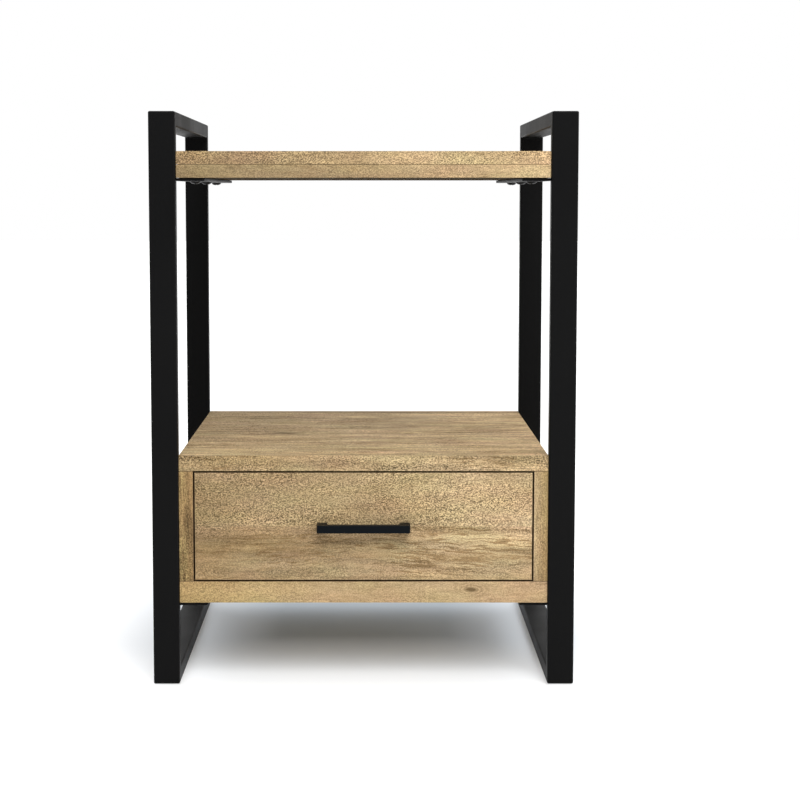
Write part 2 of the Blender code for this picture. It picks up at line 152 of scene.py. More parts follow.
class SideTableStage(bpy.types.PropertyGroup):
    distance: length("Distance", 2.1347, "From the camera to the front of the side frames")
    height: length("Height", 0.5246, "Camera height over the floor")
    pitch: FloatProperty(name="Pitch", description="How far the camera looks down",
                         default=math.radians(5.821), subtype="ANGLE")
    aside: length("Aside", 0.0034, "How far the camera stands to the right of the table's middle")
    lens: number("Lens", 91.29, "Focal length in millimetres")
    shift: number("Shift", 0.0416, "Sideways shift of the picture")
    floor: colour("Floor", (0.58, 0.58, 0.58), "The floor")
    shaded: colour("Shaded floor", (0.5, 0.565, 0.64), "The darker floor below the table")
    shade: length("Shade", 0.1, "Half the width of the darker floor below the table")
    shade_back: length("Shade back", 0.125, "How far back the middle of the darker floor lies")
    rim: length("Shade rim", 0.28, "How softly the darker floor ends")
    glow: number("Floor glow", 0.5, "Extra brightness of the floor round the table")
    glow_inside: number("Floor glow below", 0.04, "Extra brightness of the floor below the table")
    backdrop: number("Backdrop", 0.75, "Brightness of the room behind the table")
    room: number("Room", 0.1, "Brightness of the room in front of the table")
    key: number("Key light", 2.6, "Strength of the broad light in front")
    back: number("Back light", 1.3, "Strength of the broad light behind")
    top: number("Top light", 0.8, "Strength of the broad light overhead")
    side: number("Side light", 16, "Power of the light on the right in watts")


def sizes():
    return bpy.context.scene.side_table_sizes


def colours():
    return bpy.context.scene.side_table_colours


# Modelling by hand


def only(obj):
    """Leaves obj the one selected and active object."""
    bpy.ops.object.select_all(action="DESELECT")
    obj.select_set(True)
    bpy.context.view_layer.objects.active = obj


def settle(obj, name):
    """Names the object and puts its place, turn and scale into its mesh."""
    obj.name = name
    obj.data.name = name
    only(obj)
    bpy.ops.object.transform_apply(location=True, rotation=True, scale=True)
    return obj


def block(name, low, high):
    low, high = Vector(low), Vector(high)
    bpy.ops.object.select_all(action="DESELECT")
    bpy.ops.mesh.primitive_cube_add(size=1, location=(low + high) / 2)
    bpy.context.object.scale = high - low
    return settle(bpy.context.object, name)


def turn_to(direction):
    """The turn that points a piece's +Z along direction."""
    return Vector(direction).to_track_quat("Z", "Y").to_euler()


def rod(name, place, direction, radius, depth):
    """A round cutter or blank centred on place."""
    bpy.ops.object.select_all(action="DESELECT")
    bpy.ops.mesh.primitive_cylinder_add(
        vertices=sizes().round_steps, radius=radius, depth=depth, location=place, rotation=turn_to(direction)
    )
    return settle(bpy.context.object, name)


def work_on(obj, kind, picked, *actions):
    """Runs the actions in edit mode on the faces or edges that are picked."""
    only(obj)
    bpy.ops.object.mode_set(mode="EDIT")
    bpy.ops.mesh.select_mode(type=kind)
    bpy.ops.mesh.select_all(action="DESELECT")
    shape = bmesh.from_edit_mesh(obj.data)
    for item in shape.faces if kind == "FACE" else shape.edges:
        if picked(item):
            item.select_set(True)
    bmesh.update_edit_mesh(obj.data)
    for action in actions:
        action()
    bpy.ops.object.mode_set(mode="OBJECT")


def facing(direction):
    """Picks the faces that look along direction."""
    return lambda face: face.normal.dot(Vector(direction)) > ALIGNED


def edge_along(axis, *tests):
    """Picks the edges that run along an axis, 0, 1 or 2, and whose middles pass every test."""

    def picked(edge):
        start, end = (vert.co for vert in edge.verts)
        along = (end - start).normalized()
        return abs(along[axis]) > ALIGNED and all(test((start + end) / 2) for test in tests)

    return picked


def bevel_picked(width, segments):
    return lambda: bpy.ops.mesh.bevel(offset=width, segments=segments, affect="EDGES")


def pull_out(move):
    bpy.ops.mesh.extrude_region_move(TRANSFORM_OT_translate={"value": move})


def apply_modifier(obj, kind, **settings):
    modifier = obj.modifiers.new(kind.lower(), kind)
    for name, value in settings.items():
        setattr(modifier, name, value)
    only(obj)
    bpy.ops.object.modifier_apply(modifier=modifier.name)


def ease(obj, width, segments=3):
    """Rounds every sharp edge and gives the piece even shading."""
    apply_modifier(obj, "BEVEL", width=width, segments=segments, limit_method="ANGLE", angle_limit=SHARP_EDGE)
    even_shading(obj)


def eased_block(name, node, width, segments=3):
    """A block with eased edges that fills a CAD node's box, and the box's lowest and highest corner."""
    low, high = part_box(node)
    obj = block(name, low, high)
    ease(obj, width, segments)
    return obj, low, high


def even_shading(obj):
    only(obj)
    bpy.ops.object.shade_smooth_by_angle(angle=SMOOTH_BELOW)
    apply_modifier(obj, "WEIGHTED_NORMAL", keep_sharp=True)


def cut_away(obj, *cutters):
    for cutter in cutters:
        apply_modifier(obj, "BOOLEAN", object=cutter, operation="DIFFERENCE")
        bpy.data.objects.remove(cutter)


def copy_of(original, name):
    only(original)
    bpy.ops.object.duplicate()
    bpy.context.object.name = name
    return bpy.context.object


def present(obj, body, slot, material, *nodes):
    """Hands a finished piece over: its finish, the body that carries it and the CAD nodes it stands for."""
    obj.data.materials.clear()
    obj.data.materials.append(material)
    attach(obj, body)
    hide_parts(*nodes)


# Materials


WHITE = (1, 1, 1)


class Net:
    """A node tree being wired. Each node is placed beside the one before it."""

    def __init__(self, tree):
        self.tree = tree
        self.count = 0

    def node(self, kind, inputs, **settings):
        """A new node with its inputs linked or set."""
        node = self.tree.nodes.new("ShaderNode" + kind)
        row, column = divmod(self.count, 8)
        node.location = (210 * column, -260 * row)
        self.count += 1
        for name, value in settings.items():
            setattr(node, name, value)
        for name, value in inputs.items():
            self.feed(node.inputs[name], value)
        return node

    def feed(self, socket, value):
        """Links an input to another node's output, or sets it to a plain value."""
        if isinstance(value, bpy.types.NodeSocket):
            self.tree.links.new(value, socket)
        else:
            socket.default_value = value

    def add(self, kind, inputs, out=0, **settings):
        """One output of a new node."""
        return self.node(kind, inputs, **settings).outputs[out]

    def math(self, operation, first, second=0.0):
        return self.add("Math", {0: first, 1: second}, operation=operation)

    def times(self, first, second):
        return self.math("MULTIPLY", first, second)

    def plus(self, first, second):
        return self.math("ADD", first, second)

    def vector(self, operation, first, second=(0, 0, 0), out=0):
        return self.add("VectorMath", {0: first, 1: second}, out, operation=operation)

    def split(self, vector):
        """A vector's X, Y and Z, by name or by number."""
        return self.node("SeparateXYZ", {0: vector}).outputs

    def grey(self, value):
        """The colour whose three channels all hold value."""
        return self.add("CombineColor", {0: value, 1: value, 2: value})

    def stretched(self, vector, scale, detail=2.0, roughness=0.5, out="Fac"):
        """Noise with its own scale, per metre, along each axis."""
        stretched = self.vector("MULTIPLY", vector, scale)
        inputs = {"Vector": stretched, "Scale": 1.0, "Detail": detail, "Roughness": roughness}
        return self.add("TexNoise", inputs, out)

    def wander(self, vector, scale, reach, detail=2):
        """A push to either side, by at most half of reach along each axis."""
        noise = self.stretched(vector, scale, detail, out="Color")
        return self.vector("MULTIPLY", self.vector("SUBTRACT", noise, (0.5, 0.5, 0.5)), reach)

    def between(self, value, low, high, to_low=0.0, to_high=1.0):
        inputs = {"Value": value, "From Min": low, "From Max": high, "To Min": to_low, "To Max": to_high}
        return self.add("MapRange", inputs)

    def mix(self, factor, first, second, blend_type="MIX"):
        """A mix of two colours; 6 and 7 are the node's colour sockets."""
        inputs = {"Factor": factor, 6: first, 7: second}
        return self.add("Mix", inputs, 2, data_type="RGBA", blend_type=blend_type)


def group(name, inputs, outputs):
    """A new shader node group and its net. inputs and outputs give each socket's name and its kind."""
    tree = bpy.data.node_groups.new(name, "ShaderNodeTree")
    for sockets, direction in ((inputs, "INPUT"), (outputs, "OUTPUT")):
        for socket, kind in sockets.items():
            tree.interface.new_socket(socket, in_out=direction, socket_type="NodeSocket" + kind)
    net = Net(tree)
    source = tree.nodes.new("NodeGroupInput")
    source.location = (-260, 0)
    return net, source.outputs


def close_group(net, results):
    """Feeds the group's outputs and returns the group."""
    sink = net.tree.nodes.new("NodeGroupOutput")
    sink.location = (1900, 0)
    for name, socket in results.items():
        net.feed(sink.inputs[name], socket)
    return net.tree


def use_group(net, name, inputs):
    """Puts a finished group in a net and returns its outputs."""
    tree = bpy.data.node_groups.get(name) or GROUPS[name]()
    return net.node("Group", inputs, node_tree=tree).outputs


def wood_grain():
    """Solid wood whose grain runs along X and whose glued staves lie side by side along Y."""
    inputs = {"Vector": "Vector", "Seed": "Float", "Stave Width": "Float", "Wood": "Color", "Blush": "Color",
              "Streak": "Color", "Pore": "Color", "Figure": "Float", "Speckle": "Float"}
    net, given = group("wood grain", inputs, {"Color": "Color", "Roughness": "Float", "Height": "Float"})
    # Each stave is cut from its own place in the wood, up to log_size away
    log_size = (4, 4, 4)
    staves_across = net.math("DIVIDE", net.split(given["Vector"])["Y"], given["Stave Width"])
    stave = net.math("FLOOR", net.plus(staves_across, given["Seed"]))
    key = net.plus(stave, net.times(given["Seed"], 3.7))
    draw = net.node("TexWhiteNoise", {"W": key}, noise_dimensions="1D").outputs
    place = net.vector("ADD", given["Vector"], net.vector("MULTIPLY", draw["Color"], log_size))
    drift = net.wander(place, (3, 11, 11), (0, 0.03, 0.03))
    ripple = net.wander(place, (55, 80, 80), (0.002, 0.006, 0.006))
    grain = net.vector("ADD", net.vector("ADD", place, drift), ripple)

    # Growth bands and streaks, stronger in some clumps
    bands = net.between(net.stretched(grain, (6, 95, 95), 4, 0.62), 0.47, 0.68)
    streaks = net.between(net.stretched(grain, (32, 420, 420), 2, 0.6), 0.5, 0.63)
    clumps = net.between(net.stretched(place, (8, 22, 22), 1), 0.4, 0.62)
    dark = net.plus(net.times(bands, 0.45), net.times(streaks, 0.75))
    dark = net.times(net.times(dark, given["Figure"]), net.plus(clumps, 0.3))
    dark = net.math("MINIMUM", dark, 1.0)

    # Light and dark: fine stipple in patches, long fibres, soft clouds and each stave's own tone
    patch = net.between(net.stretched(place, (14, 34, 34), 1), 0.38, 0.58, 0.65, 1.0)
    busy = net.times(patch, given["Speckle"])
    stipple = net.between(net.stretched(grain, (620, 1050, 1050), 1), 0.4, 0.6, -1, 1)
    fibres = net.between(net.stretched(grain, (25, 560, 560), 2, 0.6), 0.36, 0.64, -1, 1)
    cloud = net.between(net.stretched(place, (10, 26, 26), 2), 0.3, 0.7, 0.93, 1.07)
    tone = net.between(draw["Value"], 0, 1, 0.95, 1.05)
    figure = net.between(net.stretched(grain, (9, 110, 110), 3, 0.6), 0.36, 0.64, -1, 1)
    light = net.plus(net.times(net.times(stipple, busy), 0.6), net.times(fibres, 0.08))
    light = net.plus(light, net.times(net.times(figure, given["Figure"]), 0.15))
    light = net.times(net.plus(light, 1.0), net.times(cloud, tone))

    # Open pores
    flecks = net.between(net.stretched(grain, (520, 900, 900), 1), 0.58, 0.66)
    dashes = net.between(net.stretched(grain, (90, 900, 900), 1), 0.6, 0.7)
    pores = net.times(net.math("MAXIMUM", flecks, dashes), net.plus(busy, 0.15))

    # The colours laid over each other
    blush = net.between(net.stretched(place, (12, 30, 30), 2), 0.42, 0.68, 0, 0.3)
    wood = net.mix(blush, given["Wood"], given["Blush"])
    wood = net.mix(0.1, wood, net.stretched(place, (14, 40, 40), 2, out="Color"), "OVERLAY")
    wood = net.mix(net.times(dark, 0.85), wood, given["Streak"])
    wood = net.mix(1.0, wood, net.grey(light), "MULTIPLY")
    wood = net.mix(net.times(pores, 0.45), wood, given["Pore"])
    rough = net.plus(net.between(fibres, -1, 1, 0.68, 0.8), net.times(pores, 0.2))
    height = net.math("SUBTRACT", net.times(stipple, 0.4), pores)
    return close_group(net, {"Color": wood, "Roughness": rough, "Height": height})


def depth_below_faces(net, where, centre, half_size):
    """How far a point lies inside a box's nearer face along each axis."""
    offset = net.vector("ABSOLUTE", net.vector("SUBTRACT", where, centre))
    return net.vector("SUBTRACT", half_size, offset)


def edge_wear_and_highlight():
    """A mask for lighter edges, partly edge wear and partly painted highlight: white along a box-shaped
    piece's edges, fading unevenly over about Width.
    """
    inputs = {"Vector": "Vector", "Centre": "Vector", "Half Size": "Vector", "Width": "Float"}
    net, given = group("edge wear and highlight", inputs, {"Mask": "Float"})
    depth = net.split(depth_below_faces(net, given["Vector"], given["Centre"], given["Half Size"]))
    nearest, farthest, total = (
        net.math(kind, net.math(kind, depth[0], depth[1]), depth[2]) for kind in ("MINIMUM", "MAXIMUM", "ADD")
    )
    second = net.math("SUBTRACT", total, net.plus(nearest, farthest))
    uneven = net.between(net.stretched(given["Vector"], (220, 220, 220), 2), 0.3, 0.7, 0.5, 1.5)
    reach = net.times(given["Width"], uneven)
    mask = net.math("SUBTRACT", 1.0, net.math("DIVIDE", second, reach))
    return close_group(net, {"Mask": net.math("MINIMUM", net.math("MAXIMUM", mask, 0.0), 1.0)})


def fine_texture():
    """The even, fine unevenness of sprayed paint, plated metal or moulded plastic."""
    inputs = {"Vector": "Vector", "Grain": "Float"}
    net, given = group("fine texture", inputs, {"Value": "Float", "Cloud": "Float", "Height": "Float"})
    grain = given["Grain"]
    scaled = net.vector("MULTIPLY", given["Vector"], net.add("CombineXYZ", {0: grain, 1: grain, 2: grain}))
    peel = net.add("TexNoise", {"Vector": scaled, "Scale": 1.0, "Detail": 2.0})
    grit = net.add("TexVoronoi", {"Vector": scaled, "Scale": 1.7})
    cloud = net.stretched(given["Vector"], (9, 9, 9), 3)
    height = net.plus(peel, net.times(grit, 0.35))
    return close_group(net, {"Value": peel, "Cloud": cloud, "Height": height})


def knot():
    """A small knot with its grain swirling round it."""
    inputs = {"Vector": "Vector", "Centre": "Vector", "Half Size": "Vector"}
    net, given = group("knot", inputs, {"Mask": "Float"})
    local = net.vector("DIVIDE", net.vector("SUBTRACT", given["Vector"], given["Centre"]), given["Half Size"])
    local = net.vector("ADD", local, net.wander(given["Vector"], (90, 240, 240), (1, 1, 1), detail=3))
    distance = net.vector("LENGTH", local, out="Value")
    core = net.between(distance, 0.5, 1.0, 1.0, 0.0)
    rings = net.math("SINE", net.times(distance, 9.0))
    fading = net.between(distance, 0.8, 3.4, 0.6, 0.0)
    halo = net.times(fading, net.between(rings, -1, 1))
    return close_group(net, {"Mask": net.math("MAXIMUM", core, halo)})


GROUPS = {"wood grain": wood_grain, "edge wear and highlight": edge_wear_and_highlight, "fine texture": fine_texture, "knot": knot}


def opened(name):
    """A new material, its net, its Principled shader and the Object coordinates."""
    material = bpy.data.materials.new(name)
    material.use_nodes = True
    tree = material.node_tree
    shader = tree.nodes["Principled BSDF"]
    shader.location = (2000, 0)
    tree.nodes["Material Output"].location = (2300, 0)
    net = Net(tree)
    return material, net, shader, net.add("TexCoord", {}, "Object")


def wire(net, shader, **inputs):
    """Feeds the shader's inputs, whose names have _ for a space here."""
    for name, value in inputs.items():
        net.feed(shader.inputs[name.replace("_", " ")], value)


def bump(net, height, strength, distance):
    return net.add("Bump", {"Height": height, "Strength": strength, "Distance": distance})


def opaque(value):
    return (*value, 1.0)


def edge_mask(net, where, low, high, width):
    inputs = {"Vector": where, "Centre": (low + high) / 2, "Half Size": (high - low) / 2, "Width": width}
    return use_group(net, "edge wear and highlight", inputs)["Mask"]


OILED_SPECULAR = 0.06
STEEL_PAINT = {"roughness": 0.5, "grain": 1600.0, "specular": 0.07}
PULL_PAINT = {"roughness": 0.4, "grain": 2400.0, "specular": 0.08}
BLACK_OXIDE = {"roughness": 0.36, "grain": 3000.0, "specular": 0.15}
MOULDED_PLASTIC = {"roughness": 0.55, "grain": 900.0, "specular": 0.4}

# Grain directions, as the turn that brings the grain to X and the staves to Y
LYING = (0, 0, 0)
STANDING = (math.radians(-90), 0, 0)
UPRIGHT = (0, math.radians(90), 0)
FRONT_TO_BACK = (0, 0, math.radians(90))


def painted_shade_mask(net, split, low, high, faces, reach):
    """A mask of painted shade, white on some of a board's faces, from just behind its front face back to
    reach, then fading. A face is named by its axis, 0, 1 or 2, and its end, low or high."""
    arris, fade = sizes().wood_edge, 1.5
    mask = 0.0
    for axis, end in faces:
        level = low[axis] if end == "low" else high[axis]
        depth = net.math("ABSOLUTE", net.math("SUBTRACT", split[axis], level))
        mask = net.math("MAXIMUM", mask, net.between(depth, 0, arris, 1.0, 0.0))
    mask = net.times(mask, net.between(split["Y"], low.y, low.y + arris / 2))
    return net.times(mask, net.between(split["Y"], low.y + reach, low.y + fade * reach, 1.0, 0.0))


def wood_finish(name, low, high, turn, seed, stave, tones, figure, speckle, knots=(), shade_painted=(), shade_colour=None,
                reach=1.0, painted_top_light=False):
    """Oiled solid wood for one board between two corners. seed picks its place in the wood and stave is its
    staves' width. tones are its colours from left to right; where they grow lighter to the right they partly
    carry painted light, as if lit from the right. figure and speckle, the strength of its bands and its
    stipple, are each one value, or a pair for the board's foot and head. knots holds each knot's centre and
    half size. The faces named for darkening get painted shade in the given colour, back as far as reach, and
    the top face can be painted lighter, most at the front, as painted light."""
    material, net, shader, where = opened(name)
    split = net.split(where)
    # The tones run from left to right; on the front-facing boards they grow lighter to the right, partly the
    # wood's own tone and partly painted light, as if lit from the right
    along = net.between(split["X"], low.x, high.x)
    ramp = net.node("ValToRGB", {"Fac": along})
    stops = ramp.color_ramp.elements
    while len(stops) < len(tones):
        stops.new(0.5)
    for number, tone in enumerate(tones):
        stops[number].position = number / (len(tones) - 1)
        stops[number].color = opaque(tone)
    up = net.between(split["Z"], low.z, high.z)
    waver = net.between(net.stretched(where, (9, 9, 9)), 0, 1, -0.12, 0.12)
    from_foot_to_head = net.between(net.plus(up, waver), 0.42, 0.54)

    def graded(value):
        foot, head = value if isinstance(value, tuple) else (value, value)
        return net.between(from_foot_to_head, 0, 1, foot, head)

    palette = colours()
    turned = net.add("Mapping", {"Vector": where, "Rotation": turn})
    inputs = {"Vector": turned, "Seed": seed, "Stave Width": stave, "Wood": ramp.outputs["Color"],
              "Blush": opaque(palette.wood_red), "Streak": opaque(palette.streak),
              "Pore": opaque(palette.pore), "Figure": graded(figure), "Speckle": graded(speckle)}
    grain = use_group(net, "wood grain", inputs)
    wood = grain["Color"]
    for centre, half in knots:
        mask = use_group(net, "knot", {"Vector": where, "Centre": centre, "Half Size": half})["Mask"]
        wood = net.mix(net.times(mask, 0.9), wood, opaque(palette.pore))
    arris = sizes().wood_edge
    # Painted highlight: the eased edges are mixed towards the palest wood, as if catching the light
    edge = edge_mask(net, where, low, high, arris * 1.2)
    wood = net.mix(net.times(edge, 0.35), wood, opaque(palette.wood_pale))
    rough = grain["Roughness"]
    # Painted light: the top face is made lighter, most at the front and least at the back, where the table
    # top shades it
    if painted_top_light:
        top = net.between(split["Z"], high.z - arris, high.z)
        front_gain, back_gain = 1.28, 1.02
        painted_top_gain = net.between(split["Y"], low.y, high.y, front_gain, back_gain)
        wood = net.mix(top, wood, net.grey(painted_top_gain), "MULTIPLY")
    # Painted shade: the named faces are darkened where shade falls, under the table top and in the drawer's
    # gap
    if shade_painted:
        dark = painted_shade_mask(net, split, low, high, shade_painted, reach)
        wood = net.mix(dark, wood, opaque(shade_colour))
        rough = net.math("MAXIMUM", rough, dark)
    normal = bump(net, grain["Height"], 0.6, 0.0002)
    wire(net, shader, Base_Color=wood, Roughness=rough, Normal=normal, Specular_IOR_Level=OILED_SPECULAR)
    return material


def thin_wood_finish(name, low, high, turn, seed, layers):
    """Pale lacquered plywood, with fine straight grain on its faces and its layers seen on its edges."""
    material, net, shader, where = opened(name)
    turned = net.add("Mapping", {"Vector": where, "Rotation": turn})
    tone = Vector(colours().box_wood)
    inputs = {"Vector": turned, "Seed": seed, "Stave Width": 1.0, "Wood": opaque(tone),
              "Blush": opaque(tone * 0.85), "Streak": opaque(tone * 0.62), "Pore": opaque(tone * 0.35),
              "Figure": 0.45, "Speckle": 0.35}
    grain = use_group(net, "wood grain", inputs)
    thin = min(range(3), key=lambda axis: high[axis] - low[axis])
    depth = net.between(net.split(where)[thin], low[thin], high[thin], 0, layers)
    inner = net.times(net.math("GREATER_THAN", depth, 0.5), net.math("LESS_THAN", depth, layers - 0.5))
    odd = net.times(net.math("GREATER_THAN", net.math("MODULO", depth, 2.0), 1.0), inner)
    wood = net.mix(net.times(odd, 0.45), grain["Color"], opaque(tone * 0.5))
    normal = bump(net, grain["Height"], 0.4, 0.0001)
    wire(net, shader, Base_Color=wood, Roughness=grain["Roughness"], Normal=normal)
    return material


def painted_finish(name, base, low, high, roughness, grain, specular, weld=False):
    """Sprayed black paint with a fine peel, slightly lighter along the edges of a box between two corners,
    partly from wear and partly as a painted highlight.
    """
    material, net, shader, where = opened(name)
    texture = use_group(net, "fine texture", {"Vector": where, "Grain": grain})
    # Lighter, smoother edges: partly edge wear, partly a painted highlight
    worn_and_highlighted_edges = edge_mask(net, where, low, high, sizes().tube_round)
    base = Vector(base)
    paint = net.mix(texture["Cloud"], opaque(base * 0.8), opaque(base * 1.25))
    paint = net.mix(net.times(worn_and_highlighted_edges, 0.3), paint, opaque(base * 2.4))
    rough = net.between(texture["Cloud"], 0.3, 0.7, roughness - 0.05, roughness + 0.05)
    rough = net.math("SUBTRACT", rough, net.times(worn_and_highlighted_edges, 0.06))
    height = texture["Height"]
    if weld:
        height = net.plus(height, mitre_welds(net, where, low, high))
    normal = bump(net, height, 0.35, 0.0001)
    wire(net, shader, Base_Color=paint, Roughness=rough, Normal=normal, Specular_IOR_Level=specular)
    return material


def mitre_welds(net, where, low, high):
    """A faint, ground weld along the diagonal at each corner of a rectangular frame."""
    depth = net.split(depth_below_faces(net, where, (low + high) / 2, (high - low) / 2))
    ripple = net.between(net.stretched(where, (420, 420, 420), 2), 0, 1, -0.0008, 0.0008)
    off_diagonal = net.plus(net.math("SUBTRACT", depth["Y"], depth["Z"]), ripple)
    return net.between(net.math("ABSOLUTE", off_diagonal), 0, sizes().weld_width / 2, 0.9, 0.0)


def plated_finish(name, base, roughness):
    """Zinc plate: a faint spangle and fine rolling lines along the slide."""
    material, net, shader, where = opened(name)
    texture = use_group(net, "fine texture", {"Vector": where, "Grain": 700.0})
    spangle = net.add("TexVoronoi", {"Vector": where, "Scale": 120.0}, "Color")
    rolling = net.stretched(where, (2500, 12, 2500), 2)
    base = Vector(base)
    metal = net.mix(net.between(spangle, 0, 1, 0.0, 0.5), opaque(base * 1.05), opaque(base * 0.75))
    metal = net.mix(net.between(rolling, 0.4, 0.7, 0.0, 0.4), metal, opaque(base * 0.7))
    uneven = net.plus(texture["Cloud"], rolling)
    rough = net.between(uneven, 0.6, 1.4, roughness - 0.08, roughness + 0.1)
    normal = bump(net, rolling, 0.15, 0.00005)
    wire(net, shader, Base_Color=metal, Metallic=1.0, Roughness=rough, Normal=normal)
    return material


# The pieces


class Piece(bpy.types.Operator):
    """A step that builds one piece or a group of like pieces"""

    bl_options = {"REGISTER", "UNDO"}

    def execute(self, context):
        self.build()
        return {"FINISHED"}


class SIDE_TABLE_OT_side_frames(Piece):
    """Welds the two closed side frames from rectangular steel tube"""

    bl_idname = "side_table.side_frames"
    bl_label = "Side Frames"

    def build(self):
        for side, _ in SIDES:
            nodes = frame_nodes(side)
            low, high = around(*nodes)
            leg_low, leg_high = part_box(f"{side}_front_leg")
            thickness = leg_high.y - leg_low.y
            loop = block(f"frame_{side}", low, high)
            work_on(
                loop, "FACE", lambda face: abs(face.normal.x) > ALIGNED,
                lambda: bpy.ops.mesh.inset(thickness=thickness, use_individual=True),
                lambda: bpy.ops.mesh.bridge_edge_loops(),
            )
            ease(loop, sizes().tube_round, 4)
            name = f"powder coat {side}"
            paint = painted_finish(name, colours().steel, low, high, weld=True, **STEEL_PAINT)
            present(loop, "frame", "black_steel", paint, *nodes)


class SIDE_TABLE_OT_support_bars(Piece):
    """Makes the flat bars inside the side frames that the wood rests on"""

    bl_idname = "side_table.support_bars"
    bl_label = "Support Bars"

    def build(self):
        for side, sign in SIDES:
            for level in ("top", "cabinet"):
                node = f"{side}_{level}_support_bar"
                low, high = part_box(node)
                bar = block(f"rest_{side}_{level}", low, high)
                bar_middle = (low.x + high.x) / 2
                free = edge_along(2, lambda middle: (middle.x - bar_middle) * sign < 0)
                work_on(bar, "EDGE", free, bevel_picked(sizes().bar_corner, 4))
                ease(bar, sizes().bar_edge, 2)
                paint = painted_finish(f"bar paint {side} {level}", colours().steel, low, high, **STEEL_PAINT)
                present(bar, "frame", "black_steel", paint, node)


class SIDE_TABLE_OT_screws(Piece):
    """Turns the pan-head screws once for each size and sets a copy in every place"""

    bl_idname = "side_table.screws"
    bl_label = "Screws"

    def build(self):
        black = painted_finish("black oxide", (0.004, 0.004, 0.0045), CAD_LOW, CAD_HIGH, **BLACK_OXIDE)
        bright = plated_finish("screw zinc", colours().zinc, 0.28)
        bar_screws = [f"{side}_{level}_screw_{place}" for side, _ in SIDES for level in ("top", "cabinet")
                      for place in (1, 2, 3)]
        self.place_all("bar", bar_screws, "frame", "black_screw", black, UP)
        for holder, body, turn in (("cabinet", "frame", 1), ("drawer", "drawer", -1)):
            for side, sign in SIDES:
                nodes = [f"{side}_slide_{end}_{holder}_screw" for end in ("front", "back")]
                direction = Vector((sign * turn, 0, 0))
                self.place_all(f"slide_{holder}_{side}", nodes, body, "zinc_plate", bright, direction)
        pull_screws = [f"handle_{side}_screw" for side, _ in SIDES]
        self.place_all("pull", pull_screws, "drawer", "zinc_plate", bright, Vector((0, -1, 0)))

    def place_all(self, kind, nodes, body, slot, finish, direction):
        """Models one screw and sets a copy in the place of each node, its shank along direction."""
        axis = max(range(3), key=lambda number: abs(direction[number]))
        low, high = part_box(nodes[0])
        total, head_width = (high - low)[axis], (high - low)[(axis + 1) % 3]
        model = self.model(kind, head_width / 2, total)
        for node in nodes:
            low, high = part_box(node)
            screw = copy_of(model, f"screw_{node}")
            screw.location = (low + high) / 2 - direction * total / 2
            screw.rotation_euler = turn_to(direction)
            settle(screw, screw.name)
            present(screw, body, slot, finish, node)
        bpy.data.objects.remove(model)

    def model(self, kind, head_radius, total):
        """A screw whose head's top is at the origin and whose shank runs up +Z."""
        head, tip = head_radius * 0.43, head_radius * 0.12
        dome = ((0.16, 0.5), (0.24, 0.34), (0.3, 0.16))  # each step's inset and rise
        screw = rod(f"{kind} screw", UP * head / 2, UP, head_radius, head)
        for inset, rise in dome:
            work_on(
                screw, "FACE", facing(-UP),
                lambda: bpy.ops.mesh.inset(thickness=head_radius * inset),
                lambda: bpy.ops.transform.translate(value=-UP * head * rise),
            )
        work_on(
            screw, "FACE", facing(UP),
            lambda: bpy.ops.mesh.inset(thickness=head_radius * 0.66),
            lambda: pull_out(UP * (total - 2 * head)),
            lambda: pull_out(UP * tip),
            lambda: bpy.ops.transform.resize(value=(0.4, 0.4, 1)),
        )
        screw.location.z = -min(vert.co.z for vert in screw.data.vertices)
        settle(screw, screw.name)
        reach, half, floor = head_radius * 0.56, head_radius * sizes().recess_width / 2, head * 0.6
        cut_away(
            screw,
            block("recess", (-reach, -half, -head), (reach, half, floor)),
            block("recess", (-half, -reach, -head), (half, reach, floor)),
        )
        even_shading(screw)
        return screw


class SIDE_TABLE_OT_tabletop(Piece):
    """Lays up the top from its two glued layers"""

    bl_idname = "side_table.tabletop"
    bl_label = "Table Top"

    def build(self):
        palette = colours()
        # Darker on the left and lighter on the right: partly the wood's own tone, partly painted light
        tones = (palette.wood_brown, palette.wood_mid, palette.wood_light)
        stave = 0.071
        # Seed, figure, speckle and the faces darkened with painted shade
        plans = (("upper", 4.31, 0.3, 0.9, ()), ("lower", 7.77, 0.45, 0.5, ((2, "low"),)))
        for layer, seed, figure, speckle, shade_painted in plans:
            node = f"tabletop_{layer}_board"
            board, low, high = eased_block(f"top_layer_{layer}", node, sizes().wood_edge)
            finish = wood_finish(
                f"top {layer} wood", low, high, LYING, seed, stave, tones, figure, speckle,
                shade_painted=shade_painted, shade_colour=palette.underside_shade,
            )
            present(board, "frame", "solid_wood", finish, node)


